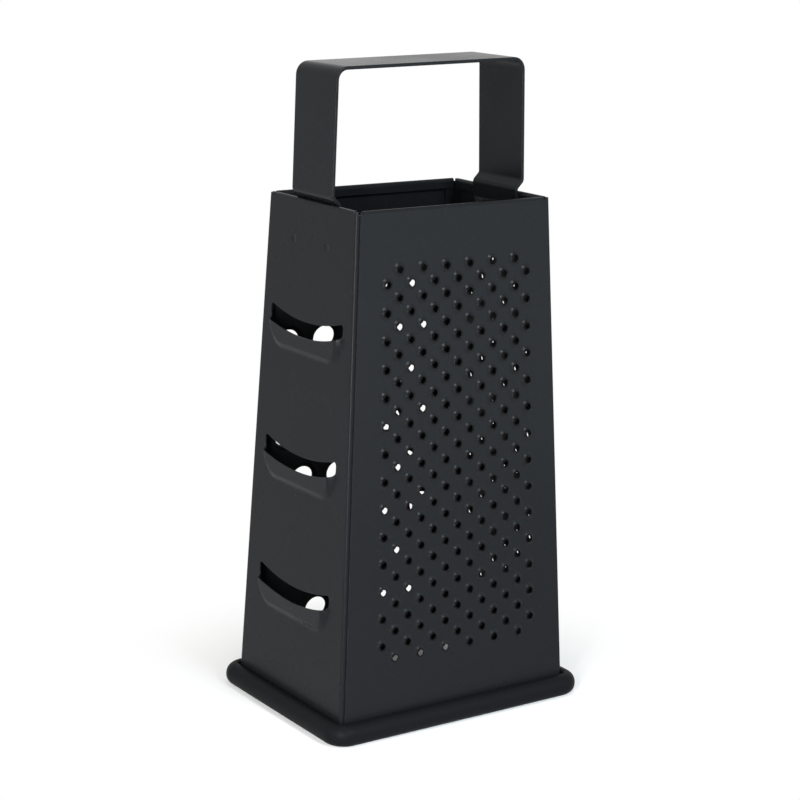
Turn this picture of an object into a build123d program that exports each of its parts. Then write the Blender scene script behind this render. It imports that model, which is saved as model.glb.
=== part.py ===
from build123d import *
import math
import os

# Box grater: four pressed sheet walls, a strap handle and a moulded base ring.
# Millimetres. Origin at the centre of the footprint on the table, +Z up.
# The fine wall faces -Y, the slicing wall -X, the coarse wall +Y, the zesting wall +X.

# Body: a four-sided tower of thin sheet that tapers towards the top
body_height = 197.1
foot_width = 104.4
foot_depth = 76.4
top_width = 86.4
top_depth = 61.5
sheet = 0.5

# Corners: each narrow wall is bent round into flanges that lie behind the wide walls
bend_radius = 1.0
flange_width = 5.0
seam_clearance = 0.3
seam_overlap = 0.2
plate_setback = 0.55

# Hems: the top edge of every wall is rolled inwards
hem_drop = 3.8
hem_gap = 1.6
hem_end_gap = 1.0
hem_corner_gap = 0.2
corner_drop = 0.4
corner_slit = 0.3

# Base ring, moulded to hold the lower edges of the walls in a channel
ring_height = 8.2
ring_overhang = 6.2
ring_corner = 9.0
ring_top_round = 4.1
ring_bottom_round = 3.4
ring_lip = 1.5
ring_floor = 2.5
ring_clearance = 0.5
ring_inner_wall = 2.2
foot_clearance = 0.05

# Handle: one bent strap whose tabs lie against the narrow walls inside
handle_height = 247.4
handle_width = 28.0
handle_thickness = 1.3
handle_bend = 5.0
handle_foot_half = 43.3
handle_head_half = 42.1
handle_rise = 0.65
jog_top = 200.4
jog_bottom = 197.6
hem_clearance = 0.1
tab_jog_top = 192.2
tab_jog_bottom = 188.6
tab_bottom = 172.6
tab_clearance = 0.05
strap_round = 2.0
tab_corner = 4.0

# Welds: two shallow dimples on each narrow wall, over the handle's tab
weld_drop = 15.4
weld_spacing = 22.8
weld_diameter = 3.2
weld_dimple = 0.15

# Fine wall: small round craters in staggered rows that fan out with the taper
fine_rows = 29
fine_row_pitch = 5.21
fine_top_row = 21.95
fine_row_count = 6
fine_column_pitch = 10.94
fine_fan = 0.041
fine_offset = 0.35
fine_hole = 2.4
fine_rim = 3.0
fine_mouth = 3.3
fine_base = 5.4
fine_shoulder = 0.8
fine_height = 1.25

# Coarse wall: large round holes whose lower lip rises into a curved blade
coarse_rows = 9
coarse_row_pitch = 18.8
coarse_top_row = 22.2
coarse_row_count = 5
coarse_column_pitch = 16.4
coarse_hole = 9.4
coarse_rim = 10.3
coarse_mouth = 10.8
coarse_base = 13.4
coarse_shoulder = 1.8
coarse_height = 2.4
coarse_top_lip = 0.3

# Zesting wall: four-sided pierced points in close staggered rows
zest_rows = 36
zest_row_pitch = 4.2
zest_top_row = 20.9
zest_row_count = 7
zest_column_pitch = 6.72
zest_fan = 0.053
zest_hole = 1.8
zest_rim = 2.2
zest_mouth = 2.9
zest_base = 3.4
zest_height = 0.9

# Slicing wall: wide curved slots, each over a raised blade
slot_count = 3
slot_pitch = 51.0
slot_drop = 45.2
slot_width = 50.6
slot_opening = 5.5
slot_arc_radius = 85.0
slot_corner = 1.8
blade_raise = 1.8
scoop_height = 7.7
scoop_corner = 9.5
scoop_flank = 2.5
scoop_start = 0.5
scoop_margin = 5.4

# One overrun serves every cut that passes right through
overrun = 4.0

wide_tilt = math.atan2((foot_depth - top_depth) / 2, body_height)
narrow_tilt = math.atan2((foot_width - top_width) / 2, body_height)
wide_slope = body_height / math.cos(wide_tilt)
narrow_slope = body_height / math.cos(narrow_tilt)
fold_radius = sheet + hem_gap / 2
hem_thickness = 2 * sheet + hem_gap
edge_start = ring_floor + foot_clearance
corner_top = body_height - corner_drop


def width_at(z):
    """Outer width of the tower at height z."""
    return foot_width + (top_width - foot_width) * z / body_height


def depth_at(z):
    """Outer depth of the tower at height z."""
    return foot_depth + (top_depth - foot_depth) * z / body_height


def wall_plane(toward_x, toward_y):
    """Outer face of a wall: x to the right seen from outside, y up the slope, z outward."""
    tilt = narrow_tilt if toward_x else wide_tilt
    foot = (toward_x * foot_width / 2, toward_y * foot_depth / 2, 0)
    normal = (toward_x * math.cos(tilt), toward_y * math.cos(tilt), math.sin(tilt))
    return Plane(origin=foot, x_dir=(-toward_y, toward_x, 0), z_dir=normal)


def wall_outline(half_low, half_high, slope, hem_half):
    """Closed outline of a tapered sheet; between its two corners the top ends at the hem's fold line."""
    low = edge_start * slope / body_height
    high = corner_top * slope / body_height
    fold = slope - fold_radius
    tab_half = hem_half + corner_slit
    right = [(half_low, low), (half_high, high), (tab_half, high), (tab_half, fold), (hem_half, fold)]
    return Wire(Polyline(*right, *[(-x, y) for x, y in reversed(right)], close=True))


def pierced_sheet(outline, mouths):
    """Flat sheet behind its outer face, pierced by closed wires."""
    return Solid.extrude(Face(outline, mouths), Vector(0, 0, -sheet))


def hem(length, slope):
    """Rolled top edge of a wall: half a turn inwards, then a short leaf that hangs down."""
    roll = Circle(fold_radius) - Circle(hem_gap / 2)
    roll &= Pos(0, fold_radius / 2) * Rectangle(2 * fold_radius, fold_radius)
    leaf_length = hem_drop - fold_radius
    leaf = Pos(sheet / 2 - fold_radius, -leaf_length / 2) * Rectangle(sheet, leaf_length)
    across = Plane(origin=(length / 2, slope - fold_radius, -fold_radius), x_dir=(0, 0, 1), z_dir=(-1, 0, 0))
    return extrude(across * (roll + leaf), amount=length)


def staggered_rows(slope, rows, top_row, row_pitch, row_count, column_pitch, fan, step):
    """Centres of a punched field; every other row has one more or one fewer, and rows fan out."""
    places = []
    for row in range(rows):
        count = row_count + step * (row % 2)
        pitch = column_pitch + fan * row
        for column in range(count):
            places.append(((column - (count - 1) / 2) * pitch, slope - top_row - row * row_pitch))
    return places


def revolved_rim(hole, rim, mouth, base, shoulder, height):
    """Raised rim on the outer face: a sloping flank up to the shoulder, then an upright collar."""
    outline = Polyline((mouth / 2, 0), (base / 2, 0), (rim / 2, shoulder), (rim / 2, height),
                       (hole / 2, height), close=True)
    return revolve(Plane.XZ * make_face(outline), Axis.Z)


def round_mouths(places, diameter):
    """Round holes in the sheet, one under each raised rim."""
    return [Wire.make_circle(diameter / 2, Plane(origin=(x, y, 0))) for x, y in places]


def wide_wall(places, mouth, raised):
    """A wide wall in its own plane: pierced sheet, rolled hem and one raised rim at each place."""
    setback = bend_radius + plate_setback
    hem_half = width_at(body_height - fold_radius) / 2 - hem_thickness - hem_corner_gap
    half_low, half_high = width_at(edge_start) / 2 - setback, width_at(corner_top) / 2 - setback
    outline = wall_outline(half_low, half_high, wide_slope, hem_half)
    plate = pierced_sheet(outline, round_mouths(places, mouth))
    return plate.fuse(hem(2 * hem_half, wide_slope), *[Pos(x, y) * raised for x, y in places])


def fine_wall():
    """Front: small craters with a thin raised collar."""
    rows = staggered_rows(wide_slope, fine_rows, fine_top_row, fine_row_pitch, fine_row_count,
                          fine_column_pitch - fine_fan * fine_rows / 2, fine_fan, 1)
    places = [(x + fine_offset, y) for x, y in rows]
    crater = revolved_rim(fine_hole, fine_rim, fine_mouth, fine_base, fine_shoulder, fine_height)
    return wall_plane(0, -1).location * wide_wall(places, fine_mouth, crater)


def coarse_wall():
    """Back: large holes; each rim is cut on the slant, low above the hole and tall below it."""
    places = staggered_rows(wide_slope, coarse_rows, coarse_top_row, coarse_row_pitch, coarse_row_count,
                            coarse_column_pitch, 0, -1)
    rim = revolved_rim(coarse_hole, coarse_rim, coarse_mouth, coarse_base, coarse_shoulder, coarse_height)
    reach = coarse_base / 2
    side = Polyline((-reach, 0), (reach, 0), (reach, coarse_top_lip), (coarse_hole / 2, coarse_top_lip),
                    (-coarse_hole / 2, coarse_height), (-reach, coarse_height), close=True)
    kept = extrude(Plane.YZ * make_face(side), amount=reach, both=True)
    return wall_plane(0, 1).location * wide_wall(places, coarse_mouth, (rim & kept).solid())


def wall_edge_half(z):
    """Half the span of a narrow wall's flat face at height z, from its middle to the bend."""
    return depth_at(z) / 2 - sheet - seam_clearance - bend_radius


def bend_section(z, reach):
    """Plan of one bent edge of a narrow wall at height z; it starts a little way in on the flat face."""
    face_x = width_at(z) / 2
    inner_x = face_x - sheet / math.cos(narrow_tilt)
    turn_y = wall_edge_half(z)
    start_y = turn_y - seam_overlap
    back_y = turn_y + bend_radius
    turn_x = face_x - bend_radius
    diagonal = math.sqrt(0.5)
    middle = (turn_x + bend_radius * diagonal, turn_y + bend_radius * diagonal)
    inner_turn = bend_radius - sheet
    inner_middle = (turn_x + inner_turn * diagonal, turn_y + inner_turn * diagonal)
    end_x = turn_x - reach
    lines = [Polyline((inner_x, turn_y), (inner_x, start_y), (face_x, start_y), (face_x, turn_y)),
             ThreePointArc((face_x, turn_y), middle, (turn_x, back_y)),
             Line((end_x, back_y - sheet), (end_x, back_y)),
             ThreePointArc((turn_x, back_y - sheet), inner_middle, (inner_x, turn_y))]
    if reach:
        lines += [Line((turn_x, back_y), (end_x, back_y)),
                  Line((end_x, back_y - sheet), (turn_x, back_y - sheet))]
    return Pos(0, 0, z) * make_face(lines)


def bent_edge(low, high, reach):
    """Bent edge of a narrow wall between two heights."""
    return loft([bend_section(low, reach), bend_section(high, reach)], ruled=True)


def narrow_wall(mouths, raised):
    """A narrow wall facing +X at rest: flat sheet, hem, two bent edges with flanges and weld dimples."""
    flange_top = body_height - fold_radius - hem_clearance
    hem_half = wall_edge_half(body_height - fold_radius) - hem_end_gap
    outline = wall_outline(wall_edge_half(edge_start), wall_edge_half(corner_top), narrow_slope, hem_half)
    plate = pierced_sheet(outline, mouths).fuse(hem(2 * hem_half, narrow_slope))
    for side in (-1, 1):
        dimple = Cylinder(weld_diameter / 2, 2 * weld_dimple)
        plate -= Pos(side * weld_spacing / 2, narrow_slope - weld_drop) * dimple
    edges = [bent_edge(edge_start, flange_top, flange_width), bent_edge(flange_top, corner_top, 0)]
    edges += [mirror(edge, Plane.XZ) for edge in edges]
    seat = wall_plane(1, 0).location
    return (seat * plate).fuse(*edges, *[seat * shape for shape in raised])


def zest_point():
    """Four-sided raised point with a four-sided hole, standing on one corner."""
    shells = []
    for low, high in ((zest_base, zest_rim), (zest_mouth, zest_hole)):
        shells.append(loft([Rectangle(low, low), Pos(0, 0, zest_height) * Rectangle(high, high)]))
    return Rot(0, 0, 45) * (shells[0] - shells[1])


def zesting_wall():
    """Right: pierced points in close rows."""
    places = staggered_rows(narrow_slope, zest_rows, zest_top_row, zest_row_pitch, zest_row_count,
                            zest_column_pitch, zest_fan, 1)
    half = zest_mouth / math.sqrt(2)
    mouths = [Wire(Polyline((x + half, y), (x, y + half), (x - half, y), (x, y - half), close=True))
              for x, y in places]
    point = zest_point()
    return narrow_wall(mouths, [Pos(x, y) * point for x, y in places])


def slot_window(middle):
    """Cutter for one slot: a band between two arcs, lowest at the middle, square to the sheet."""
    half = slot_width / 2
    sag = slot_arc_radius - math.sqrt(slot_arc_radius ** 2 - half ** 2)
    top = middle + slot_opening
    outline = [ThreePointArc((-half, middle + sag), (0, middle), (half, middle + sag)),
               Line((half, middle + sag), (half, top + sag)),
               ThreePointArc((half, top + sag), (0, top), (-half, top + sag)),
               Line((-half, top + sag), (-half, middle + sag))]
    window = fillet(make_face(outline).vertices(), slot_corner)
    return extrude(window, amount=overrun, both=True)


def scoop(middle):
    """Raised pad below a slot: flat, tilted outwards to the blade, with sloping ends."""
    low = middle - scoop_height
    high = middle + scoop_margin
    outline = Pos(0, (low + high) / 2) * Rectangle(slot_width, high - low)
    outline = fillet(outline.vertices().group_by(Axis.Y)[0], scoop_corner)
    pad = extrude(outline, amount=blade_raise, taper=math.degrees(math.atan2(scoop_flank, blade_raise)))
    side = Polyline((low, 0), (high, 0), (high, blade_raise), (middle, blade_raise),
                    (low, scoop_start), close=True)
    wedge = extrude(Plane.YZ * make_face(side), amount=slot_width, both=True)
    return pad & wedge


def slicing_wall():
    """Left: three scoops pressed outwards, hollow behind, each cut open above its blade."""
    wall = narrow_wall([], [])
    seat = wall_plane(1, 0).location
    for index in range(slot_count):
        middle = narrow_slope - slot_drop - slot_opening - index * slot_pitch
        pad = scoop(middle)
        wall = wall + seat * pad - seat * Pos(0, 0, -sheet) * pad - seat * slot_window(middle)
    return Rot(0, 0, 180) * wall


def channel_block(grow, low, high, corner):
    """Solid that follows the tower's outline between two heights, grown outwards all round."""
    plans = []
    for z in (low, high):
        plans.append(Pos(0, 0, z) * RectangleRounded(width_at(z) + 2 * grow, depth_at(z) + 2 * grow, corner))
    return loft(plans, ruled=True)


def base_ring():
    """Rounded ring with a channel for the walls' lower edges and an open middle."""
    outer_width = width_at(ring_height) + 2 * ring_overhang
    outer_depth = depth_at(ring_height) + 2 * ring_overhang
    block = extrude(RectangleRounded(outer_width, outer_depth, ring_corner), ring_height)
    block = fillet(block.edges().group_by(Axis.Z)[-1], ring_top_round)
    block = fillet(block.edges().group_by(Axis.Z)[0], ring_bottom_round)
    above = ring_height + overrun
    inset = 2 * sheet + seam_clearance + ring_clearance
    channel = channel_block(ring_clearance, ring_floor, above, bend_radius)
    channel -= channel_block(-inset, ring_floor, above, bend_radius)
    middle = Rectangle(width_at(above) - 2 * (inset + ring_inner_wall),
                       depth_at(above) - 2 * (inset + ring_inner_wall))
    opening = Pos(0, 0, -overrun) * extrude(middle, above + 2 * overrun)
    lip_low = RectangleRounded(width_at(ring_height) + 2 * ring_clearance,
                               depth_at(ring_height) + 2 * ring_clearance, bend_radius)
    lip_high = RectangleRounded(width_at(ring_height) + 2 * (ring_clearance + ring_lip),
                                depth_at(ring_height) + 2 * (ring_clearance + ring_lip),
                                bend_radius + ring_lip)
    flare = loft([Pos(0, 0, ring_height - ring_lip) * lip_low, Pos(0, 0, ring_height) * lip_high], ruled=True)
    flare -= channel_block(-inset, ring_floor, above, bend_radius)
    return block - channel - flare - opening


def strap_side(side):
    """Corners of the strap's middle line on one side, from the tab up; the right side stands higher."""
    half_thick = handle_thickness / 2
    rise = side * handle_rise
    passing = hem_thickness + hem_clearance + half_thick
    lying = sheet + tab_clearance + half_thick
    head_height = handle_height - half_thick
    lean = (handle_foot_half - handle_head_half) / (head_height - handle_bend - jog_top)
    corners = [(width_at(tab_bottom) / 2 - lying, tab_bottom),
               (width_at(tab_jog_bottom) / 2 - lying, tab_jog_bottom),
               (width_at(tab_jog_top) / 2 - passing, tab_jog_top),
               (width_at(jog_bottom) / 2 - passing, jog_bottom + rise),
               (handle_foot_half - half_thick, jog_top + rise),
               (handle_head_half - half_thick - lean * handle_bend, head_height + rise)]
    return [(side * x, z) for x, z in corners]


def handle():
    """Strap bent over the top, stepped in past the hems and lying against the walls inside."""
    path = strap_side(1) + strap_side(-1)[::-1]
    radii = [strap_round] * 4 + [handle_bend - handle_thickness / 2] * 2 + [strap_round] * 4
    band = trace(FilletPolyline(path, radius=radii), handle_thickness)
    strap = extrude(Plane.XZ * band, amount=handle_width / 2, both=True)
    corners = strap.edges().filter_by(Axis.X, tolerance=5).group_by(Axis.Z)[0]
    return fillet(corners, tab_corner)


nodes = {
    "fine_wall": fine_wall(),
    "coarse_wall": coarse_wall(),
    "slicing_wall": slicing_wall(),
    "zesting_wall": zesting_wall(),
    "handle_strap": handle(),
    "base_ring": base_ring(),
}

os.makedirs("parts", exist_ok=True)
for name, shape in nodes.items():
    solids = shape.solids()
    piece = solids[0] if len(solids) == 1 else Compound(solids)
    export_step(piece, f"parts/{name}.step")
    print(name, len(solids), "solid", round(piece.volume), "mm3", piece.is_valid)
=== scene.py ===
# %% [markdown]
# # A black box grater
#
# This lesson dresses a box grater: four thin steel walls that taper towards the top, a strap handle bent from
# one band, and a soft ring that the walls stand in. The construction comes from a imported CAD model, which is
# loaded as a fixed frame. The lesson replaces each plain solid by a finer mesh in the same place, and gives
# every surface a material worked out by nodes.

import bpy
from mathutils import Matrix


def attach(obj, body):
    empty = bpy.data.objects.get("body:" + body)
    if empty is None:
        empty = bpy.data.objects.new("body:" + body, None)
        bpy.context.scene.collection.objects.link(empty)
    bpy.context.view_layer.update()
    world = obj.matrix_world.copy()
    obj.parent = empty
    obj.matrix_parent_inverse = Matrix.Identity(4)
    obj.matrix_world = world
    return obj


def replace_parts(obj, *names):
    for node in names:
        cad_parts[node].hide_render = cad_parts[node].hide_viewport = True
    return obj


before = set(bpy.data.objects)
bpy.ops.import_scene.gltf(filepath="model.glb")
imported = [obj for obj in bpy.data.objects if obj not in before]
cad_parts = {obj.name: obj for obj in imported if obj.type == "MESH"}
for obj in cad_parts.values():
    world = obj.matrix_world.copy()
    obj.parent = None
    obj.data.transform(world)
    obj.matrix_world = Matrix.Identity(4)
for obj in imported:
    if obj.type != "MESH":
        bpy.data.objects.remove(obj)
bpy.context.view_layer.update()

# %% Modules and unit
import math

import bmesh
import bpy
from mathutils import Matrix, Vector

mm = 0.001
scene = bpy.context.scene

# %% [markdown]
# ## The grater's driving sizes
#
# A scene can't read the CAD source, so the few sizes that its meshes need are written again here, in
# millimetres turned into metres. The tower is widest at the table and narrows evenly, so one height gives its
# width and depth anywhere.

# %% Sizes of the tower
body_height = 197.1 * mm
foot_width = 104.4 * mm
foot_depth = 76.4 * mm
top_width = 86.4 * mm
top_depth = 61.5 * mm
sheet = 0.5 * mm
bend_radius = 1.0 * mm
flange_width = 5.0 * mm
seam_clearance = 0.3 * mm
plate_setback = 0.55 * mm
edge_start = 2.55 * mm
hem_gap = 1.6 * mm
hem_drop = 3.8 * mm
hem_clearance = 0.1 * mm
fold_radius = sheet + hem_gap / 2
hem_thickness = 2 * sheet + hem_gap
narrow_hem_gap = 1.0 * mm
corner_gap = 0.2 * mm
corner_drop = 0.4 * mm
corner_slit = 0.3 * mm


def width_at(z):
    """Outer width of the tower at a height."""
    return foot_width + (top_width - foot_width) * z / body_height


def depth_at(z):
    """Outer depth of the tower at a height."""
    return foot_depth + (top_depth - foot_depth) * z / body_height


wide_tilt = math.atan2((foot_depth - top_depth) / 2, body_height)
narrow_tilt = math.atan2((foot_width - top_width) / 2, body_height)
wide_slope = body_height / math.cos(wide_tilt)
narrow_slope = body_height / math.cos(narrow_tilt)
bend_top = body_height - fold_radius
corner_top = body_height - corner_drop
print("the wide walls lean by", round(math.degrees(wide_tilt), 2), "degrees")

# %% [markdown]
# ## A place to draw each wall
#
# Every wall is drawn lying flat, as a sheet-metal worker would mark it out: x to the right seen from outside,
# y up the slope, z outwards. One matrix then stands it up on its side of the tower.

# %% Where a wall stands


def wall_place(toward_x, toward_y):
    """Matrix from a wall's flat drawing to its place on the tower."""
    tilt = narrow_tilt if toward_x else wide_tilt
    normal = Vector((toward_x * math.cos(tilt), toward_y * math.cos(tilt), math.sin(tilt)))
    across = Vector((-toward_y, toward_x, 0))
    upward = normal.cross(across)
    foot = Vector((toward_x * foot_width / 2, toward_y * foot_depth / 2, 0))
    matrix = Matrix((across, upward, normal)).transposed().to_4x4()
    matrix.translation = foot
    return matrix


# %% [markdown]
# ## Small mesh tools
#
# The walls share four moves: put down a ring of points, join two rings by a strip of faces, fill a flat face
# around all its holes, and turn the finished mesh into an object. Flat faces and tight bends meet on the same
# sheet, so each object gets weighted normals: the large flat faces then stay flat in the light, and only the
# bends and lips look round.

# %% Rings, strips and flat faces


def put_points(mesh, points):
    """New vertices at the given points."""
    return [mesh.verts.new(point) for point in points]


def strip(mesh, first, second, closed=False):
    """Faces between two rows of vertices of the same length; returns them."""
    count = len(first)
    faces = []
    for index in range(count if closed else count - 1):
        after = (index + 1) % count
        faces.append(mesh.faces.new((first[index], first[after], second[after], second[index])))
    return faces


def fill_flat(mesh, loops):
    """Flat face bounded by the first closed loop, with the other loops as holes."""
    edges = []
    for loop in loops:
        for index, vertex in enumerate(loop):
            after = loop[(index + 1) % len(loop)]
            edges.append(mesh.edges.get((vertex, after)) or mesh.edges.new((vertex, after)))
    bmesh.ops.triangle_fill(mesh, use_beauty=True, use_dissolve=False, edges=edges)


def finished_object(name, mesh, place, smooth_below=math.radians(38)):
    """Object from a drawn mesh, stood up at its place, with round bends and flat flats."""
    bmesh.ops.recalc_face_normals(mesh, faces=mesh.faces)
    mesh.transform(place)
    data = bpy.data.meshes.new(name)
    mesh.to_mesh(data)
    mesh.free()
    data.shade_smooth()
    data.set_sharp_from_angle(angle=smooth_below)
    piece = bpy.data.objects.new(name, data)
    scene.collection.objects.link(piece)
    weighted = piece.modifiers.new("flat_stays_flat", "WEIGHTED_NORMAL")
    weighted.keep_sharp = True
    print(name, "has", len(data.vertices), "points and", len(data.polygons), "faces")
    return piece


# %% [markdown]
# ## Punched cutting marks
#
# All the holes are punched from inside, so the sheet rises round each one. A mark is a stack of rings: from
# the flat outer face up the flank to the lip, over it, and down inside to the inner face. A mark is described
# by a list of steps, each with a radius and a height for any angle, and the same list serves every copy. The
# faces from a chosen step on get a second, darker material, which is painted shade on the lip and inside the
# hole.

# %% Marks made of rings


def add_mark(mesh, centre, steps, segments, painted_shade_from=math.inf):
    """Punched mark round a centre, painted shade from one step on; returns its outermost ring on each face."""
    centre_x, centre_y = centre
    rings = []
    for step in steps:
        points = []
        for index in range(segments):
            angle = 2 * math.pi * index / segments
            radius, height = step(angle)
            points.append((centre_x + radius * math.cos(angle), centre_y + radius * math.sin(angle), height))
        rings.append(put_points(mesh, points))
    for index, (outer, inner) in enumerate(zip(rings, rings[1:])):
        for face in strip(mesh, outer, inner, closed=True):
            # Faces from the chosen step on take the second material, painted shade on the lip and inside the
            # hole.
            face.material_index = int(index >= painted_shade_from)
    return rings[0], rings[-1]


def round_step(radius, height):
    """A step with the same radius and height all round."""
    return lambda angle: (radius, height)


# %% [markdown]
# The punch for the fine wall has four edges, so it first draws the sheet out into a small dome and then tears
# it in four. What is left is a wide soft flank, a thin collar, and four small teeth that lean in over the
# hole. A function with four peaks, one in the middle of each tooth, moves the lip in and up.

# %% The fine crater
petal_count = 4
petal_sharpness = 0.7
tooth_sharpness = 1.4
fine_segments = 24
# From this ring step on, the fine craters' lips and insides are painted shade.
fine_painted_shade_step = 6


def petal(angle):
    """0 at a tear, 1 in the middle of a rounded petal."""
    return (0.5 - 0.5 * math.cos(petal_count * angle)) ** petal_sharpness


def tooth(angle):
    """0 at a tear, 1 at the tip of a pointed tooth."""
    share = angle * petal_count / (2 * math.pi) % 1
    return (1 - abs(2 * share - 1)) ** tooth_sharpness


def torn_step(radius, height, lean, rise):
    """A step whose teeth lean inwards and rise."""
    return lambda angle: (radius - lean * tooth(angle), height + rise * tooth(angle))


fine_steps = [
    round_step(2.85 * mm, 0),
    round_step(2.66 * mm, 0.03 * mm),
    round_step(2.45 * mm, 0.11 * mm),
    round_step(2.22 * mm, 0.22 * mm),
    round_step(1.99 * mm, 0.34 * mm),
    round_step(1.76 * mm, 0.46 * mm),
    round_step(1.57 * mm, 0.58 * mm),
    round_step(1.45 * mm, 0.74 * mm),
    round_step(1.39 * mm, 0.92 * mm),
    torn_step(1.34 * mm, 1.06 * mm, 0.05 * mm, 0.16 * mm),
    torn_step(1.28 * mm, 1.14 * mm, 0.14 * mm, 0.36 * mm),
    torn_step(1.23 * mm, 1.09 * mm, 0.14 * mm, 0.32 * mm),
    torn_step(1.27 * mm, 0.9 * mm, 0.03 * mm, 0.06 * mm),
    round_step(1.34 * mm, 0.64 * mm),
    round_step(1.48 * mm, 0.38 * mm),
    round_step(1.7 * mm, 0.1 * mm),
    round_step(1.98 * mm, -0.16 * mm),
    round_step(2.35 * mm, -sheet),
]
print("a fine crater has", len(fine_steps) * fine_segments, "points")

# %% [markdown]
# The coarse wall's holes are cut on the slant. Above the hole the lip is low. Below it the lip stands tall
# and is the edge that cuts, because food is pushed down the wall.

# %% The coarse crater
coarse_segments = 44
# From this ring step on, the coarse holes' lips and insides are painted shade.
coarse_painted_shade_step = 8
coarse_slant = 1.3
coarse_low_lip = 0.3 * mm
coarse_high_lip = 2.4 * mm


def slanted_step(radius, share, drop=0.0):
    """A step at a share of the lip's height, which grows towards the lower side."""
    def at(angle):
        slant = ((1 - math.sin(angle)) / 2) ** coarse_slant
        return radius, share * (coarse_low_lip + (coarse_high_lip - coarse_low_lip) * slant) - drop
    return at


coarse_steps = [
    slanted_step(7.0 * mm, 0),
    slanted_step(6.65 * mm, 0.03),
    slanted_step(6.25 * mm, 0.13),
    slanted_step(5.85 * mm, 0.32),
    slanted_step(5.5 * mm, 0.56),
    slanted_step(5.22 * mm, 0.79),
    slanted_step(5.02 * mm, 0.96),
    slanted_step(4.9 * mm, 1.0),
    slanted_step(4.74 * mm, 0.97),
    slanted_step(4.7 * mm, 0.8),
    slanted_step(4.85 * mm, 0.5),
    slanted_step(5.2 * mm, 0.22),
    slanted_step(5.7 * mm, 0.06, sheet / 2),
    slanted_step(6.3 * mm, 0, sheet),
]

# %% [markdown]
# The zesting wall has the sharpest marks: four-sided points whose tips are torn open. Their rings go from
# round at the foot to square at the tip.

# %% The zesting point
zest_segments = 16


def square_step(radius, height, squareness, rise=0.0):
    """A step between a circle and a square that stands on one corner, with petals on its flat sides."""
    def at(angle):
        diamond = 1 / (abs(math.cos(angle)) + abs(math.sin(angle)))
        return radius * (1 - squareness + squareness * diamond), height + rise * (1 - petal(angle))
    return at


zest_steps = [
    square_step(2.15 * mm, 0, 0.0),
    square_step(1.95 * mm, 0.05 * mm, 0.15),
    square_step(1.72 * mm, 0.22 * mm, 0.3),
    square_step(1.52 * mm, 0.5 * mm, 0.45),
    square_step(1.34 * mm, 0.7 * mm, 0.5, 0.2 * mm),
    square_step(1.2 * mm, 0.68 * mm, 0.5, 0.25 * mm),
    square_step(1.12 * mm, 0.45 * mm, 0.45, 0.1 * mm),
    square_step(1.2 * mm, 0.05 * mm, 0.4),
    square_step(1.5 * mm, -sheet, 0.3),
]

# %% [markdown]
# ## Fields of marks
#
# A punching tool works in rows. Every other row is shifted by half a step, and because the walls spread
# towards the foot, each row is a little wider than the one above.

# %% Places of the marks


def staggered_rows(slope, rows, top_row, row_pitch, row_count, column_pitch, fan, step):
    """Centres of the marks; every other row has one more or one fewer."""
    places = []
    for row in range(rows):
        count = row_count + step * (row % 2)
        pitch = column_pitch + fan * row
        for column in range(count):
            places.append(((column - (count - 1) / 2) * pitch, slope - top_row - row * row_pitch))
    return places


fine_rows = 29
fine_fan = 0.041 * mm
fine_offset = 0.35 * mm
fine_rows_drawn = staggered_rows(
    wide_slope, rows=fine_rows, top_row=21.95 * mm, row_pitch=5.21 * mm, row_count=6,
    column_pitch=10.94 * mm - fine_fan * fine_rows / 2, fan=fine_fan, step=1)
fine_places = [(x + fine_offset, y) for x, y in fine_rows_drawn]
coarse_places = staggered_rows(
    wide_slope, rows=9, top_row=22.2 * mm, row_pitch=18.8 * mm, row_count=5, column_pitch=16.4 * mm,
    fan=0, step=-1)
zest_places = staggered_rows(
    narrow_slope, rows=36, top_row=20.9 * mm, row_pitch=4.2 * mm, row_count=7, column_pitch=6.72 * mm,
    fan=0.053 * mm, step=1)
print(len(fine_places), "fine craters,", len(coarse_places), "coarse holes and", len(zest_places), "points")

# %% [markdown]
# ## The rolled top edge
#
# A cut sheet edge would hurt the hand, so the top of every wall is rolled inwards and a short leaf hangs
# down inside. The roll is one profile, drawn point by point along an arc, and joined at both ends of its run.

# %% Roll of a top edge
roll_turns = 12


def roll_profile(slope):
    """Points (y, z) from the outer face over the roll to the leaf, and back inside to the inner face."""
    centre = slope - fold_radius
    outer, inner = [], []
    for index in range(roll_turns + 1):
        angle = math.pi / 2 - math.pi * index / roll_turns
        outer.append((centre + fold_radius * math.cos(angle), -fold_radius + fold_radius * math.sin(angle)))
        small = fold_radius - sheet
        inner.append((centre + small * math.cos(angle), -fold_radius + small * math.sin(angle)))
    leaf_end = slope - hem_drop
    leaf = [(leaf_end, -2 * fold_radius), (leaf_end, -2 * fold_radius + sheet)]
    return outer + leaf + inner[::-1]


def add_roll(mesh, slope, left_outer, right_outer, left_inner, right_inner):
    """Roll between two vertices of the outer face's top edge, back to two of the inner face."""
    profile = roll_profile(slope)[1:-1]
    rows = []
    for start, end in ((left_outer, left_inner), (right_outer, right_inner)):
        middle = put_points(mesh, [(start.co.x, y, z) for y, z in profile])
        rows.append([start] + middle + [end])
    strip(mesh, rows[0], rows[1])
    for row in rows:
        mesh.faces.new(row)


# %% [markdown]
# ## The two wide walls
#
# Front and back are flat plates, slipped in front of the narrow walls' flanges. Only their cut edges need
# care: a real shear leaves them slightly rounded, and that thin light line is what the eye reads as metal.

# %% A wide wall
edge_round = 0.16 * mm
edge_cut = edge_round * 0.3
plate_corners = 10
fold_side = 4


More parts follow.
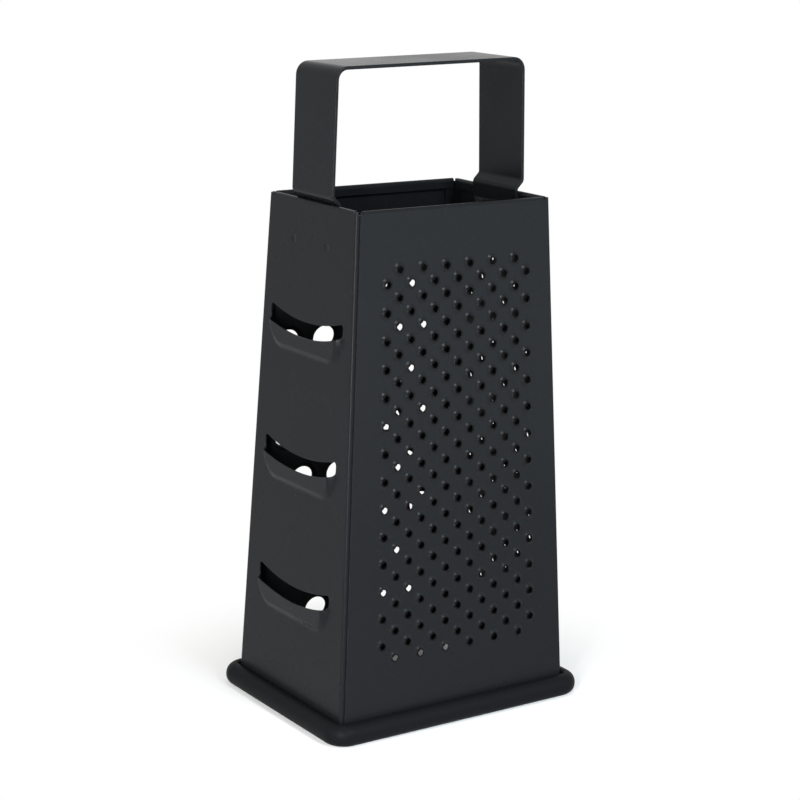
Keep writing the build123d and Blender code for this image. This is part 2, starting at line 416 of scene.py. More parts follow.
def plate_edge(hem_half, inset, depth):
    """A plate's outline, drawn in by an inset and set back by a depth; its middle part ends at the fold."""
    setback = bend_radius + plate_setback + inset
    stretch = wide_slope / body_height
    low, high = edge_start * stretch + inset, corner_top * stretch - inset
    fold = wide_slope - fold_radius
    tab_half = hem_half + corner_slit + inset
    right = [(width_at(edge_start) / 2 - setback, low), (width_at(corner_top) / 2 - setback, high),
             (tab_half, high), (tab_half, fold), (hem_half, fold)]
    return [(x, y, -depth) for x, y in right] + [(-x, y, -depth) for x, y in reversed(right)]


def wide_wall(name, places, steps, segments, painted_shade_from, toward_y):
    """Front or back wall with its field of marks."""
    mesh = bmesh.new()
    hem_half = width_at(bend_top) / 2 - hem_thickness - corner_gap
    sets = ((edge_round, 0), (edge_cut, edge_cut), (0, edge_round),
            (0, sheet - edge_round), (edge_cut, sheet - edge_cut), (edge_round, sheet))
    rings = [put_points(mesh, plate_edge(hem_half, inset, depth)) for inset, depth in sets]
    for ring, after in zip(rings, rings[1:]):
        for start in range(plate_corners):
            end = (start + 1) % plate_corners
            if start != fold_side:
                mesh.faces.new((ring[start], ring[end], after[end], after[start]))
    outer_loops, inner_loops = [rings[0]], [rings[-1]]
    for place in places:
        outer, inner = add_mark(mesh, place, steps, segments, painted_shade_from)
        outer_loops.append(outer)
        inner_loops.append(inner)
    fill_flat(mesh, outer_loops)
    fill_flat(mesh, inner_loops)
    left, right = fold_side + 1, fold_side
    add_roll(mesh, wide_slope, rings[0][left], rings[0][right], rings[-1][left], rings[-1][right])
    piece = finished_object(name, mesh, wall_place(0, toward_y))
    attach(piece, "root")
    return piece


fine_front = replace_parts(
    wide_wall("fine_front", fine_places, fine_steps, fine_segments, fine_painted_shade_step, -1), "fine_wall")
coarse_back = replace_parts(
    wide_wall("coarse_back", coarse_places, coarse_steps, coarse_segments, coarse_painted_shade_step, 1),
    "coarse_wall")

# %% [markdown]
# ## The two narrow walls
#
# Left and right are bent round at both edges, and the flanges that result are what the wide walls are welded
# to. The bend is drawn as a plan section at three heights: at the foot, just below the roll's fold line,
# where the flange ends, and at the corner, which stands nearly as high as the roll beside it.

# %% Bends, flanges and weld marks
bend_turns = 7
flange_top = bend_top - hem_clearance
weld_drop = 15.4 * mm
weld_spacing = 22.8 * mm
weld_segments = 28
cut_sides = (0, 3, 4, 5, 7, 8, 9)


def edge_half(z):
    """Half the flat span of a narrow wall at a height."""
    return depth_at(z) / 2 - sheet - seam_clearance - bend_radius


def bend_points(z, side, reach):
    """Plan section of one bend at a height, from the outer face round to the inner face."""
    face = width_at(z) / 2
    turn_y, turn_x = edge_half(z), face - bend_radius
    inner_face = face - sheet / math.cos(narrow_tilt)
    outer, inner = [], []
    for index in range(bend_turns + 1):
        angle = math.pi / 2 * index / bend_turns
        outer.append((turn_x + bend_radius * math.cos(angle), turn_y + bend_radius * math.sin(angle)))
        small = bend_radius - sheet
        inner.append((turn_x + small * math.cos(angle), turn_y + small * math.sin(angle)))
    inner[0] = (inner_face, turn_y)
    end_x = turn_x - reach
    flange = [(end_x, turn_y + bend_radius), (end_x, turn_y + bend_radius - sheet)] if reach else []
    return [Vector((x, side * y, z)) for x, y in outer + flange + inner[::-1]]


weld_steps = [
    round_step(1.9 * mm, 0),
    round_step(1.72 * mm, 0.02 * mm),
    round_step(1.5 * mm, -0.02 * mm),
    round_step(1.2 * mm, -0.12 * mm),
    round_step(0.8 * mm, -0.16 * mm),
    round_step(0.3 * mm, -0.17 * mm),
]


def narrow_wall(name, places, steps, segments, toward_x, extra=None):
    """Left or right wall with bends, flanges, roll, weld marks and its field of marks."""
    mesh = bmesh.new()
    place = wall_place(1, 0)
    flat = place.inverted()
    heights = (edge_start, flange_top, corner_top)
    columns = {}
    for side in (-1, 1):
        rows = []
        for z in heights:
            reach = flange_width if z < corner_top else 0
            rows.append(put_points(mesh, [flat @ point for point in bend_points(z, side, reach)]))
        turns = bend_turns + 1
        strip(mesh, rows[0], rows[1])
        short = rows[1][:turns] + rows[1][turns + 2:]
        strip(mesh, short, rows[2])
        mesh.faces.new(rows[1][turns - 1:turns + 3])
        mesh.faces.new(rows[0])
        mesh.faces.new(rows[2])
        columns[side] = rows
    right, left = columns[1], columns[-1]
    hem_half = edge_half(bend_top) - narrow_hem_gap
    tab_half, fold = hem_half + corner_slit, narrow_slope - fold_radius
    high = corner_top * narrow_slope / body_height
    steps_up = [(tab_half, high), (tab_half, fold), (hem_half, fold)]
    steps_up += [(-x, y) for x, y in reversed(steps_up)]
    outer_top = put_points(mesh, [(x, y, 0) for x, y in steps_up])
    inner_top = put_points(mesh, [(x, y, -sheet) for x, y in steps_up])
    outer_loop = [left[0][0], right[0][0], right[1][0], right[2][0], *outer_top, left[2][0], left[1][0]]
    inner_loop = [left[0][-1], right[0][-1], right[1][-1], right[2][-1], *inner_top, left[2][-1], left[1][-1]]
    for start in cut_sides:
        mesh.faces.new((outer_loop[start], outer_loop[start + 1], inner_loop[start + 1], inner_loop[start]))
    outer_loops, inner_loops = [outer_loop], [inner_loop]
    for centre in places:
        outer, inner = add_mark(mesh, centre, steps, segments)
        outer_loops.append(outer)
        inner_loops.append(inner)
    for side in (-1, 1):
        centre = (side * weld_spacing / 2, narrow_slope - weld_drop)
        outer, middle = add_mark(mesh, centre, weld_steps, weld_segments)
        mesh.faces.new(middle)
        outer_loops.append(outer)
    if extra:
        extra(mesh, outer_loops, inner_loops)
    fill_flat(mesh, outer_loops)
    fill_flat(mesh, inner_loops)
    add_roll(mesh, narrow_slope, outer_top[3], outer_top[2], inner_top[3], inner_top[2])
    turned = Matrix.Rotation(0 if toward_x > 0 else math.pi, 4, "Z") @ place
    piece = finished_object(name, mesh, turned)
    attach(piece, "root")
    return piece


zesting_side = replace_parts(
    narrow_wall("zesting_side", zest_places, zest_steps, zest_segments, 1), "zesting_wall")

# %% [markdown]
# ## The slicing slots
#
# Below each slot the sheet is pressed outwards into a shallow scoop, and its upper edge is the blade. A
# grid follows the scoop: its columns run across the wall, closer together near the ends where the outline
# curls up, and its rows run from the scoop's lower border up to the blade. The height is a tilted pad, and
# near the border it falls away to the flat wall in a soft S-shaped flank.

# %% Shape of a scoop
slot_count = 3
slot_pitch = 51 * mm
slot_drop = 45.2 * mm
slot_half = 25.3 * mm
slot_opening = 5.5 * mm
slot_arc = 85 * mm
slot_corner = 1.8 * mm
blade_raise = 1.8 * mm
scoop_height = 7.7 * mm
scoop_corner = 9.5 * mm
scoop_flank = 2.9 * mm
scoop_start = 0.5 * mm
scoop_limit = 1.35
scoop_columns = 110
scoop_rows = 34


def arc_rise(x, radius, flat_half):
    """How far an arc of a radius has risen beyond a flat half width."""
    over = min(max(abs(x) - flat_half, 0), radius)
    return radius - math.sqrt(radius * radius - over * over)


def blade_line(x):
    """Height of the blade above its lowest point."""
    return arc_rise(x, slot_arc, 0) + arc_rise(x, slot_corner, slot_half - slot_corner)


def upper_line(x):
    """Height of the slot's upper border above the blade's lowest point."""
    return slot_opening + arc_rise(x, slot_arc, 0) - arc_rise(x, slot_corner, slot_half - slot_corner)


def border_line(x):
    """Height of the scoop's lower border above the blade's lowest point."""
    return arc_rise(x, scoop_corner, slot_half - scoop_corner) - scoop_height


def border_distance(x, y):
    """Distance from a point inside the scoop to its border."""
    side = slot_half - abs(x)
    centre_x, centre_y = slot_half - scoop_corner, scoop_corner - scoop_height
    if abs(x) > centre_x and y < centre_y:
        return scoop_corner - math.hypot(abs(x) - centre_x, y - centre_y)
    return min(side, y + scoop_height)


def scoop_rise(x, y):
    """How far the scoop stands out at a point."""
    share = min(max(border_distance(x, y), 0) / scoop_flank, 1)
    pad = scoop_start + (blade_raise - scoop_start) * min(max(y / scoop_height + 1, 0), scoop_limit)
    return pad * share * share * (3 - 2 * share)


def add_slots(mesh, outer_loops, inner_loops):
    """Three scoops with their slots; each adds one hole loop to both faces of the sheet."""
    turns = [math.pi * (index / scoop_columns - 0.5) for index in range(scoop_columns + 1)]
    xs = [slot_half * math.sin(turn) for turn in turns]
    for number in range(slot_count):
        middle = narrow_slope - slot_drop - slot_opening - number * slot_pitch
        skins = []
        for depth in (0, sheet):
            rows = []
            for row in range(scoop_rows + 1):
                share = row / scoop_rows
                points = []
                for x in xs:
                    y = border_line(x) + (blade_line(x) - border_line(x)) * share
                    points.append((x, middle + y, scoop_rise(x, y) - depth))
                rows.append(put_points(mesh, points))
            for row, after in zip(rows, rows[1:]):
                strip(mesh, row, after)
            upper = put_points(mesh, [(x, middle + upper_line(x), -depth) for x in xs[::-1]])
            right = [row[-1] for row in rows[1:]]
            left = [row[0] for row in rows[1:]][::-1]
            skins.append((rows, upper, rows[0] + right + upper + left))
        (outer_rows, outer_upper, outer_loop), (inner_rows, inner_upper, inner_loop) = skins
        strip(mesh, outer_rows[-1], inner_rows[-1])
        window_outer = [outer_rows[-1][-1], *outer_upper, outer_rows[-1][0]]
        window_inner = [inner_rows[-1][-1], *inner_upper, inner_rows[-1][0]]
        strip(mesh, window_outer, window_inner)
        outer_loops.append(outer_loop)
        inner_loops.append(inner_loop)


slicing_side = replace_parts(narrow_wall("slicing_side", [], [], 0, -1, add_slots), "slicing_wall")

# %% [markdown]
# ## The strap handle
#
# One band of thicker steel is bent five times on each side. Its centre line is a list of corners, each
# rounded by an arc, and a small rounded section is carried along it. Near the two ends the band narrows along
# a quarter circle, which rounds the tabs' corners.

# %% Line and section of the strap
handle_height = 247.4 * mm
handle_width = 28 * mm
handle_thickness = 1.3 * mm
handle_bend = 5.0 * mm
handle_foot_half = 43.3 * mm
handle_head_half = 42.1 * mm
handle_rise = 0.65 * mm
jog_top = 200.4 * mm
jog_bottom = 197.6 * mm
tab_jog_top = 192.2 * mm
tab_jog_bottom = 188.6 * mm
tab_bottom = 172.6 * mm
tab_clearance = 0.05 * mm
strap_round = 2.0 * mm
tab_corner = 4.0 * mm
strap_edge = 0.4 * mm
strap_run = 6 * mm
arc_points = 9
edge_points = 4
tab_points = 7
same_place = 1e-8


def strap_side(side):
    """Corners (x, z) of the centre line on one side, from the tab up; the right side stands higher."""
    half = handle_thickness / 2
    rise = side * handle_rise
    passing = hem_thickness + hem_clearance + half
    lying = sheet + tab_clearance + half
    head = handle_height - half
    lean = (handle_foot_half - handle_head_half) / (head - handle_bend - jog_top)
    corners = [(width_at(tab_bottom) / 2 - lying, tab_bottom),
               (width_at(tab_jog_bottom) / 2 - lying, tab_jog_bottom),
               (width_at(tab_jog_top) / 2 - passing, tab_jog_top),
               (width_at(jog_bottom) / 2 - passing, jog_bottom + rise),
               (handle_foot_half - half, jog_top + rise),
               (handle_head_half - half - lean * handle_bend, head + rise)]
    return [(side * x, z) for x, z in corners]


def rounded_line(corners, radii):
    """The corners' line with an arc in each corner, as points close enough to look round."""
    points = [Vector(corners[0])]
    for before, corner, after, radius in zip(corners, corners[1:], corners[2:], radii):
        corner = Vector(corner)
        back, on = (Vector(before) - corner).normalized(), (Vector(after) - corner).normalized()
        half_angle = back.angle(on) / 2
        reach = radius / math.tan(half_angle)
        centre = corner + (back + on).normalized() * radius / math.sin(half_angle)
        start, end = corner + back * reach - centre, corner + on * reach - centre
        turn = start.angle_signed(end)
        for index in range(arc_points):
            share = index / (arc_points - 1)
            points.append(centre + Matrix.Rotation(-turn * share, 2) @ start)
    points.append(Vector(corners[-1]))
    return points


def spread_points(points, longest):
    """The same line with long straight runs divided."""
    spread = [points[0]]
    for start, end in zip(points, points[1:]):
        count = max(1, math.ceil((end - start).length / longest))
        spread += [start.lerp(end, index / count) for index in range(1, count + 1)]
    return spread


def strap_section(half_width):
    """Section (y, t) of the strap, with rounded edges."""
    half = handle_thickness / 2
    points = []
    for sign_y, sign_t, first in ((1, 1, 0), (-1, 1, 90), (-1, -1, 180), (1, -1, 270)):
        for index in range(edge_points):
            angle = math.radians(first + 90 / (edge_points - 1) * index)
            points.append((sign_y * (half_width - strap_edge) + strap_edge * math.cos(angle),
                           sign_t * (half - strap_edge) + strap_edge * math.sin(angle)))
    return points


def strap_handle():
    """The strap as one closed band."""
    radii = [strap_round] * 4 + [handle_bend - handle_thickness / 2]
    corners = strap_side(1) + strap_side(-1)[::-1]
    line = spread_points(rounded_line(corners, radii + radii[::-1]), strap_run)
    steps = [0]
    for start, end in zip(line, line[1:]):
        steps.append(steps[-1] + (end - start).length)
    length = steps[-1]
    quarter = [math.radians(90 / (tab_points - 1) * index) for index in range(tab_points)]
    ends = [tab_corner * (1 - math.cos(angle)) for angle in quarter]
    extra_points = []
    for distance in ends:
        extra_points += [distance, length - distance]
    places = sorted(set(round(value, 9) for value in steps + extra_points))
    mesh = bmesh.new()
    rows = []
    for place in places:
        index = max(i for i, value in enumerate(steps[:-1]) if value <= place + same_place / 10)
        start, end = line[index], line[index + 1]
        point = start.lerp(end, min((place - steps[index]) / (end - start).length, 1))
        before = line[index - 1] if index else start
        tangent = (end - start).normalized()
        if index and abs(place - steps[index]) < same_place:
            tangent = ((end - start).normalized() + (start - before).normalized()).normalized()
        normal = Vector((-tangent.y, tangent.x))
        near = min(place, length - place, tab_corner)
        narrowing = tab_corner - math.sqrt(max(tab_corner ** 2 - (tab_corner - near) ** 2, 0))
        section = strap_section(handle_width / 2 - narrowing)
        ring = [(point.x + normal.x * t, y, point.y + normal.y * t) for y, t in section]
        rows.append(put_points(mesh, ring))
    for row, after in zip(rows, rows[1:]):
        strip(mesh, row, after, closed=True)
    mesh.faces.new(rows[0])
    mesh.faces.new(rows[-1])
    return finished_object("strap_handle", mesh, Matrix.Identity(4))


strap = strap_handle()
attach(strap, "root")
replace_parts(strap, "handle_strap")

# %% [markdown]
# ## The base ring
#
# The ring is moulded in one piece. It is drawn as a stack of rounded rectangles, all with the same number of
# points, that run from the rest face up the round outside, over the top, and down into the channel that the
# walls stand in; a second stack runs over the low inner rib.

# %% Loops of the base ring
ring_height = 8.2 * mm
ring_overhang = 6.2 * mm
ring_corner = 9.0 * mm
ring_top_round = 4.1 * mm
ring_bottom_round = 3.4 * mm
ring_lip = 1.5 * mm
ring_floor = 2.5 * mm
ring_clearance = 0.5 * mm
ring_inner_wall = 2.2 * mm
ring_small_round = 0.4 * mm
ring_tight_corner = 0.8 * mm
ring_turns = 10
corner_points = 12


def rounded_rectangle(half_x, half_y, radius, z):
    """Points round a rectangle with round corners."""
    points = []
    for number, (sign_x, sign_y) in enumerate(((1, 1), (-1, 1), (-1, -1), (1, -1))):
        for index in range(corner_points + 1):
            angle = math.pi / 2 * (number + index / corner_points)
            points.append((sign_x * (half_x - radius) + radius * math.cos(angle),
                           sign_y * (half_y - radius) + radius * math.sin(angle), z))
    return points


def ring_loops():
    """Half sizes, corner radius and height of each loop, from inside the foot round to inside the foot."""
    outer_x = width_at(ring_height) / 2 + ring_overhang
    outer_y = depth_at(ring_height) / 2 + ring_overhang
    inset = 2 * sheet + seam_clearance + ring_clearance
    bore_x = width_at(ring_height) / 2 - inset - ring_inner_wall
    bore_y = depth_at(ring_height) / 2 - inset - ring_inner_wall
    tight = ring_tight_corner
    loops = [(bore_x, bore_y, tight, ring_small_round),
             (bore_x + ring_small_round, bore_y + ring_small_round, tight, 0)]
    for index in range(ring_turns + 1):
        angle = math.pi / 2 * index / ring_turns
        inward = ring_bottom_round * (1 - math.sin(angle))
        loops.append((outer_x - inward, outer_y - inward, ring_corner - inward,
                      ring_bottom_round * (1 - math.cos(angle))))
    for index in range(ring_turns + 1):
        angle = math.pi / 2 * index / ring_turns
        inward = ring_top_round * (1 - math.cos(angle))
        loops.append((outer_x - inward, outer_y - inward, ring_corner - inward,
                      ring_height - ring_top_round * (1 - math.sin(angle))))
    for index in range(ring_turns + 1):
        share = index / ring_turns
        grow = ring_clearance + ring_lip * (1 - math.sin(math.pi / 2 * share))
        z = ring_height - ring_lip * (1 - math.cos(math.pi / 2 * share))
        loops.append((width_at(z) / 2 + grow, depth_at(z) / 2 + grow, bend_radius + grow, z))
    channel = ((ring_floor, ring_clearance), (ring_floor, -inset), (ring_height - ring_small_round, -inset))
    for z, grow in channel:
        loops.append((width_at(z) / 2 + grow, depth_at(z) / 2 + grow, tight, z))
    loops.append((bore_x + ring_inner_wall - ring_small_round, bore_y + ring_inner_wall - ring_small_round,
                  tight, ring_height))
    loops.append((bore_x + ring_small_round, bore_y + ring_small_round, tight, ring_height))
    loops.append((bore_x, bore_y, tight, ring_height - ring_small_round))
    return loops


def base_ring():
    """The ring, closed on itself."""
    mesh = bmesh.new()
    rows = [put_points(mesh, rounded_rectangle(*loop)) for loop in ring_loops()]
    for row, after in zip(rows, rows[1:] + rows[:1]):
        strip(mesh, row, after, closed=True)
    return finished_object("soft_base_ring", mesh, Matrix.Identity(4))


ring = base_ring()
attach(ring, "root")
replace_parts(ring, "base_ring")

# %% [markdown]
# ## Finishes
#
# Three materials cover the whole grater: a satin black coating on the steel, a darker copy of it that paints
# shade on the lips and insides of the holes, and the matt rubber of the ring. All show a very fine grain close
# up, and all carry slow changes of sheen from handling. These two effects are built once as shader node groups
# and placed in each material with its own values.

# %% A small helper for node trees


def put_node(tree, kind, place, **settings):
    """New node with some of its settings."""
    node = tree.nodes.new(kind)
    node.location = place
    for name, value in settings.items():
        setattr(node, name, value)
    return node


def new_group(name, inputs, outputs):
    """Empty shader node group with number inputs, one vector input, and named outputs."""
    group = bpy.data.node_groups.new(name, "ShaderNodeTree")
    group.interface.new_socket("Vector", in_out="INPUT", socket_type="NodeSocketVector")
    for label, value in inputs.items():
        socket = group.interface.new_socket(label, in_out="INPUT", socket_type="NodeSocketFloat")
        socket.default_value = value
    for label in outputs:
        group.interface.new_socket(label, in_out="OUTPUT", socket_type="NodeSocketFloat")
    start = put_node(group, "NodeGroupInput", (-900, 0))
    end = put_node(group, "NodeGroupOutput", (700, 0))
    return group, start, end


# %% Grain of a sprayed or moulded skin
grain_group, grain_in, grain_out = new_group(
    "SkinGrain", {"Grain Scale": 3000.0, "Ripple Scale": 500.0, "Ripple Share": 0.4}, ["Height"])
fine_noise = put_node(grain_group, "ShaderNodeTexNoise", (-600, 200))
fine_noise.inputs["Detail"].default_value = 2.0
ripple_noise = put_node(grain_group, "ShaderNodeTexNoise", (-600, -100))
ripple_noise.inputs["Detail"].default_value = 1.0
mixed = put_node(grain_group, "ShaderNodeMix", (-200, 0))
link = grain_group.links.new
link(grain_in.outputs["Vector"], fine_noise.inputs["Vector"])
link(grain_in.outputs["Vector"], ripple_noise.inputs["Vector"])
link(grain_in.outputs["Grain Scale"], fine_noise.inputs["Scale"])
link(grain_in.outputs["Ripple Scale"], ripple_noise.inputs["Scale"])
link(grain_in.outputs["Ripple Share"], mixed.inputs["Factor"])
link(fine_noise.outputs["Fac"], mixed.inputs["A"])
link(ripple_noise.outputs["Fac"], mixed.inputs["B"])
link(mixed.outputs["Result"], grain_out.inputs["Height"])
print("node group", grain_group.name, "is ready")

# %% Slow changes of sheen from handling
sheen_group, sheen_in, sheen_out = new_group(
    "HandledSheen", {"Patch Scale": 30.0, "Low": 0.4, "High": 0.5}, ["Roughness"])
patches = put_node(sheen_group, "ShaderNodeTexNoise", (-600, 100))
patches.inputs["Detail"].default_value = 4.0
patches.inputs["Roughness"].default_value = 0.6
spread = put_node(sheen_group, "ShaderNodeMapRange", (-200, 100))
spread.inputs["From Min"].default_value = 0.35
spread.inputs["From Max"].default_value = 0.65
link = sheen_group.links.new
link(sheen_in.outputs["Vector"], patches.inputs["Vector"])
link(sheen_in.outputs["Patch Scale"], patches.inputs["Scale"])
link(patches.outputs["Fac"], spread.inputs["Value"])
link(sheen_in.outputs["Low"], spread.inputs["To Min"])
link(sheen_in.outputs["High"], spread.inputs["To Max"])
link(spread.outputs["Result"], sheen_out.inputs["Roughness"])
print("node group", sheen_group.name, "is ready")

# %% [markdown]
# Edges of a coated part wear first. The mask compares the surface's own direction with the direction that a
# slightly rounded edge would have: where the two differ, there is an edge, and a noise breaks the mask up so
# that it looks rubbed and not painted on.

# %% Rubbed edges
rub_group, rub_in, rub_out = new_group("RubbedEdge", {"Reach": 0.0006, "Break Scale": 260.0}, ["Mask"])
soft_edge = put_node(rub_group, "ShaderNodeBevel", (-600, 200), samples=4)
true_edge = put_node(rub_group, "ShaderNodeNewGeometry", (-600, -50))
compare = put_node(rub_group, "ShaderNodeVectorMath", (-350, 100), operation="DOT_PRODUCT")
edge_range = put_node(rub_group, "ShaderNodeMapRange", (-150, 100))
edge_range.inputs["From Min"].default_value = 0.99
edge_range.inputs["From Max"].default_value = 0.8
breaks = put_node(rub_group, "ShaderNodeTexNoise", (-600, -300))
breaks.inputs["Detail"].default_value = 3.0
break_range = put_node(rub_group, "ShaderNodeMapRange", (-150, -200))
break_range.inputs["From Min"].default_value = 0.4
break_range.inputs["From Max"].default_value = 0.7
both = put_node(rub_group, "ShaderNodeMath", (150, 0), operation="MULTIPLY")
link = rub_group.links.new
link(rub_in.outputs["Reach"], soft_edge.inputs["Radius"])
link(soft_edge.outputs["Normal"], compare.inputs[0])
link(true_edge.outputs["Normal"], compare.inputs[1])
link(compare.outputs["Value"], edge_range.inputs["Value"])
link(rub_in.outputs["Vector"], breaks.inputs["Vector"])
link(rub_in.outputs["Break Scale"], breaks.inputs["Scale"])
link(breaks.outputs["Fac"], break_range.inputs["Value"])
link(edge_range.outputs["Result"], both.inputs[0])
link(break_range.outputs["Result"], both.inputs[1])
link(both.outputs["Value"], rub_out.inputs["Mask"])
print("node group", rub_group.name, "is ready")

# %% [markdown]
# ## A skin from the three groups
#
# All three finishes are a dark skin with grain, changing sheen and rubbed edges, so one function lays out the
# nodes. What differs is the colour, the sheen and the size and depth of the grain. The rim material is painted
# shade: darkest and with the least reflection, it makes each crater show as a dark disc.

# %% The skin material


def skin_material(name, colour, rubbed_colour, rub_amount, low, high, specular, grain_scale, ripple_scale,
                  ripple_share, bump_depth, patch_scale):
    """Dark skin with fine grain, slow changes of sheen and rubbed edges."""
    material = bpy.data.materials.new(name)
    material.use_nodes = True
    tree = material.node_tree
    tree.nodes.clear()
    end = put_node(tree, "ShaderNodeOutputMaterial", (700, 0))
    surface = put_node(tree, "ShaderNodeBsdfPrincipled", (400, 0))
    surface.inputs["Specular IOR Level"].default_value = specular
    where = put_node(tree, "ShaderNodeTexCoord", (-900, 0))
    grain = put_node(tree, "ShaderNodeGroup", (-500, -300), node_tree=grain_group)
    grain.inputs["Grain Scale"].default_value = grain_scale
    grain.inputs["Ripple Scale"].default_value = ripple_scale
    grain.inputs["Ripple Share"].default_value = ripple_share
    handled = put_node(tree, "ShaderNodeGroup", (-500, 0), node_tree=sheen_group)
    handled.inputs["Patch Scale"].default_value = patch_scale
    handled.inputs["Low"].default_value = low
    handled.inputs["High"].default_value = high
    rubbed = put_node(tree, "ShaderNodeGroup", (-500, 300), node_tree=rub_group)
    amount = put_node(tree, "ShaderNodeMath", (-250, 300), operation="MULTIPLY")
    amount.inputs[1].default_value = rub_amount
    paint = put_node(tree, "ShaderNodeMix", (50, 200), data_type="RGBA")
    paint.inputs["A"].default_value = (*colour, 1)
    paint.inputs["B"].default_value = (*rubbed_colour, 1)
    bump = put_node(tree, "ShaderNodeBump", (100, -300))
    bump.inputs["Strength"].default_value = 1.0
    bump.inputs["Distance"].default_value = bump_depth
    join = tree.links.new
    for group in (grain, handled, rubbed):
        join(where.outputs["Object"], group.inputs["Vector"])
    join(rubbed.outputs["Mask"], amount.inputs[0])
    join(amount.outputs["Value"], paint.inputs["Factor"])
    join(paint.outputs["Result"], surface.inputs["Base Color"])
    join(handled.outputs["Roughness"], surface.inputs["Roughness"])
    join(grain.outputs["Height"], bump.inputs["Height"])
    join(bump.outputs["Normal"], surface.inputs["Normal"])
    join(surface.outputs["BSDF"], end.inputs["Surface"])
    print("material", name, "is ready")
    return material


worn_steel = (0.05, 0.05, 0.052)
coating_grain = {"grain_scale": 2600.0, "ripple_scale": 420.0, "ripple_share": 0.35,
                 "bump_depth": 0.006 * mm, "patch_scale": 35.0}
coated_steel = skin_material(
    "satin_black_coating", colour=(0.0088, 0.0094, 0.0106), rubbed_colour=worn_steel, rub_amount=0.3,
    low=0.24, high=0.30, specular=0.06, **coating_grain)
base_rubber = skin_material(
    "matt_base_rubber", colour=(0.0050, 0.0054, 0.0062), rubbed_colour=(0.03, 0.03, 0.031), rub_amount=0.3,
    low=0.42, high=0.52, specular=0.04, grain_scale=1500.0, ripple_scale=300.0, ripple_share=0.3,
    bump_depth=0.03 * mm, patch_scale=60.0)
# Painted shade: a darker copy of the coating with almost no reflection, for the lips and insides of the holes.
painted_rim_shade = skin_material(
    "crater_rim_painted_shade", colour=(0.0045, 0.0045, 0.005), rubbed_colour=worn_steel, rub_amount=0.3,
    low=0.40, high=0.50, specular=0.02, **coating_grain)
for piece in (fine_front, coarse_back, slicing_side, zesting_side, strap):
    piece.data.materials.append(coated_steel)
# The wide walls' second material is the painted shade on their hole rims.
for piece in (fine_front, coarse_back):
    piece.data.materials.append(painted_rim_shade)
ring.data.materials.append(base_rubber)

# %% [markdown]
# ## Floor and background
#
# The grater stands on a pale floor that fades into white a hand's width out, so no horizon shows. Under and
# close to the grater the floor is an ordinary matt surface and keeps its shadow.

# %% Floor
floor_half = 3.0
floor_white = (0.9, 0.9, 0.9, 1)
fade_start = 0.03
fade_end = 0.13
floor_mesh = bmesh.new()
bmesh.ops.create_grid(floor_mesh, x_segments=1, y_segments=1, size=floor_half)
floor_data = bpy.data.meshes.new("pale_floor")
floor_mesh.to_mesh(floor_data)
floor_mesh.free()
floor = bpy.data.objects.new("pale_floor", floor_data)
scene.collection.objects.link(floor)


def seen_directly(tree, place):
    """Value that is 1 for camera, glossy and transmission rays."""
    rays = put_node(tree, "ShaderNodeLightPath", place)
    first = put_node(tree, "ShaderNodeMath", (place[0] + 200, place[1]), operation="MAXIMUM")
    second = put_node(tree, "ShaderNodeMath", (place[0] + 400, place[1]), operation="MAXIMUM")
    tree.links.new(rays.outputs["Is Camera Ray"], first.inputs[0])
    tree.links.new(rays.outputs["Is Glossy Ray"], first.inputs[1])
    tree.links.new(first.outputs["Value"], second.inputs[0])
    tree.links.new(rays.outputs["Is Transmission Ray"], second.inputs[1])
    return second.outputs["Value"]


floor_paint = bpy.data.materials.new("pale_floor_paint")
floor_paint.use_nodes = True
tree = floor_paint.node_tree
tree.nodes.clear()
floor_end = put_node(tree, "ShaderNodeOutputMaterial", (800, 0))
matt = put_node(tree, "ShaderNodeBsdfDiffuse", (0, 200))
matt.inputs["Color"].default_value = floor_white
white = put_node(tree, "ShaderNodeEmission", (0, -100))
where = put_node(tree, "ShaderNodeTexCoord", (-900, 300))
distance = put_node(tree, "ShaderNodeVectorMath", (-700, 300), operation="LENGTH")
fade = put_node(tree, "ShaderNodeMapRange", (-450, 300), interpolation_type="SMOOTHSTEP")
fade.inputs["From Min"].default_value = fade_start
fade.inputs["From Max"].default_value = fade_end
fade_seen = put_node(tree, "ShaderNodeMath", (-200, 300), operation="MULTIPLY")
blend = put_node(tree, "ShaderNodeMixShader", (400, 0))
tree.links.new(where.outputs["Object"], distance.inputs[0])
tree.links.new(distance.outputs["Value"], fade.inputs["Value"])
tree.links.new(fade.outputs["Result"], fade_seen.inputs[0])
tree.links.new(seen_directly(tree, (-900, 0)), fade_seen.inputs[1])
tree.links.new(fade_seen.outputs["Value"], blend.inputs["Fac"])
tree.links.new(matt.outputs["BSDF"], blend.inputs[1])
tree.links.new(white.outputs["Emission"], blend.inputs[2])
tree.links.new(blend.outputs["Shader"], floor_end.inputs["Surface"])
floor_data.materials.append(floor_paint)
print("the floor is fully white from", fade_end, "m outwards")

# %% World
room_strength = 0.3
backdrop_strength = 1.0
world = bpy.data.worlds.new("soft_room")
scene.world = world
world.use_nodes = True
tree = world.node_tree
tree.nodes.clear()
world_end = put_node(tree, "ShaderNodeOutputWorld", (600, 0))
room = put_node(tree, "ShaderNodeBackground", (0, 150))
room.inputs["Color"].default_value = (1, 1, 1, 1)
room.inputs["Strength"].default_value = room_strength
backdrop = put_node(tree, "ShaderNodeBackground", (0, -150))
backdrop.inputs["Color"].default_value = (1, 1, 1, 1)
backdrop.inputs["Strength"].default_value = backdrop_strength
choose = put_node(tree, "ShaderNodeMixShader", (350, 0))
tree.links.new(seen_directly(tree, (-700, 300)), choose.inputs["Fac"])
tree.links.new(room.outputs["Background"], choose.inputs[1])
tree.links.new(backdrop.outputs["Background"], choose.inputs[2])
tree.links.new(choose.outputs["Shader"], world_end.inputs["Surface"])
print("the room lights the grater at a strength of", room_strength)

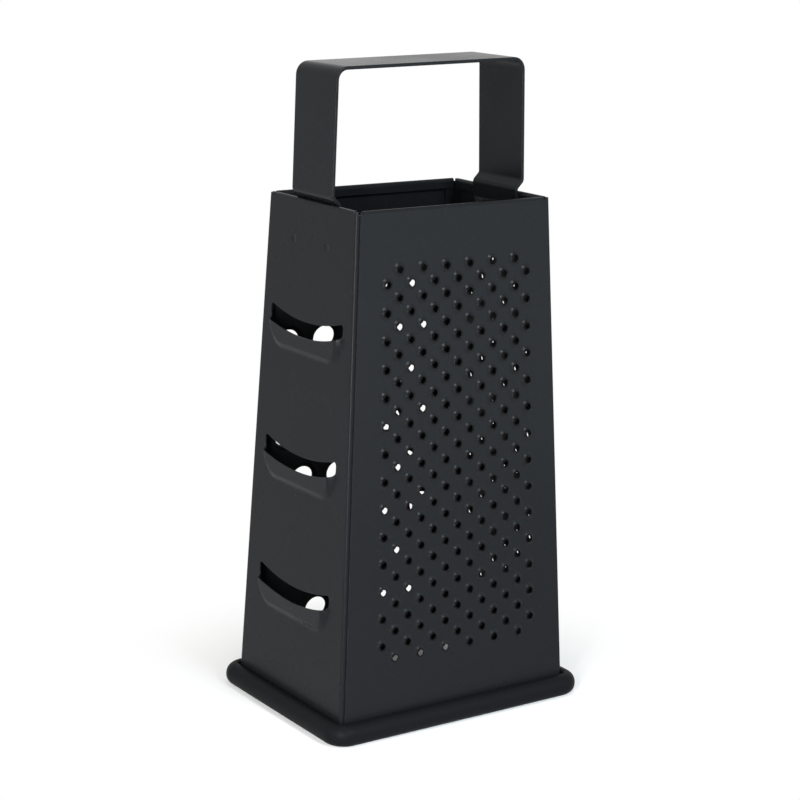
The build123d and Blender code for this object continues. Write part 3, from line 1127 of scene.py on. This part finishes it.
# %% [markdown]
# ## Camera
#
# The camera stands left of the front wall and a little above the grater, with a long lens, so the tower's
# edges hardly converge.

# %% Camera
camera_azimuth = math.radians(-34.15)
camera_elevation = math.radians(13.53)
camera_roll = math.radians(1.09)
camera_distance = 0.82527
camera_target = Vector((-2.96 * mm, -0.5 * mm, 117.56 * mm))
camera_lens = 96.66
camera_sensor = 36

back = Vector((math.sin(camera_azimuth) * math.cos(camera_elevation),
               -math.cos(camera_azimuth) * math.cos(camera_elevation), math.sin(camera_elevation)))
right = (-back).cross(Vector((0, 0, 1))).normalized()
up = right.cross(-back)
rolled_right = right * math.cos(camera_roll) + up * math.sin(camera_roll)
rolled_up = up * math.cos(camera_roll) - right * math.sin(camera_roll)
camera_data = bpy.data.cameras.new("camera")
camera_data.lens = camera_lens
camera_data.sensor_width = camera_sensor
camera = bpy.data.objects.new("camera", camera_data)
scene.collection.objects.link(camera)
turn = Matrix((rolled_right, rolled_up, back)).transposed().to_4x4()
turn.translation = camera_target + back * camera_distance
camera.matrix_world = turn
scene.camera = camera
print("the camera stands at", tuple(round(value, 3) for value in camera.matrix_world.translation))

# %% [markdown]
# ## Lamps
#
# A dark satin object shows its lamps more than its own colour. A broad fill at the front right gives the
# front wall its even tone, a strip at the front left draws the light line down the corner bend, and small
# lamps higher up put a soft highlight on the upper left flank of every crater.

# %% Lamps
lamp_aim = Vector((0, 0, 120 * mm))
far, near = 1.3, 0.5
cool, cooler = (0.84, 0.95, 1.0), (0.7, 0.9, 1.0)
warm, warmer = (1.0, 0.96, 0.93), (1.0, 0.95, 0.88)


def soft_lamp(name, azimuth, elevation, distance, width, height, power, colour=(1, 1, 1)):
    """Area lamp at an azimuth, elevation and distance round the grater, turned towards it."""
    across, upward = math.radians(azimuth), math.radians(elevation)
    reach = math.cos(upward)
    away = Vector((math.sin(across) * reach, -math.cos(across) * reach, math.sin(upward)))
    data = bpy.data.lights.new(name, "AREA")
    data.shape = "RECTANGLE"
    data.size, data.size_y = width, height
    data.energy = power
    data.color = colour
    lamp = bpy.data.objects.new(name, data)
    scene.collection.objects.link(lamp)
    lamp.location = lamp_aim + away * distance
    lamp.rotation_euler = away.to_track_quat("Z", "Y").to_euler()
    return lamp


soft_lamp("main_lamp", azimuth=-62, elevation=36, distance=far, width=0.25, height=0.25, power=3.0)
soft_lamp("front_lamp", azimuth=5, elevation=33, distance=far, width=0.3, height=0.3, power=13.0, colour=cool)
soft_lamp("right_fill", azimuth=37, elevation=2, distance=near, width=0.45, height=0.3, power=0.55,
          colour=cooler)
soft_lamp("side_lamp", azimuth=-104, elevation=33, distance=far, width=0.2, height=0.2, power=1.6,
          colour=warm)
soft_lamp("edge_strip", azimuth=-46, elevation=3, distance=near, width=0.05, height=0.3, power=3.0)
soft_lamp("top_lamp", azimuth=0, elevation=85, distance=far, width=0.4, height=0.4, power=4.0, colour=warmer)

# %% Colour view
scene.view_settings.view_transform = "Standard"
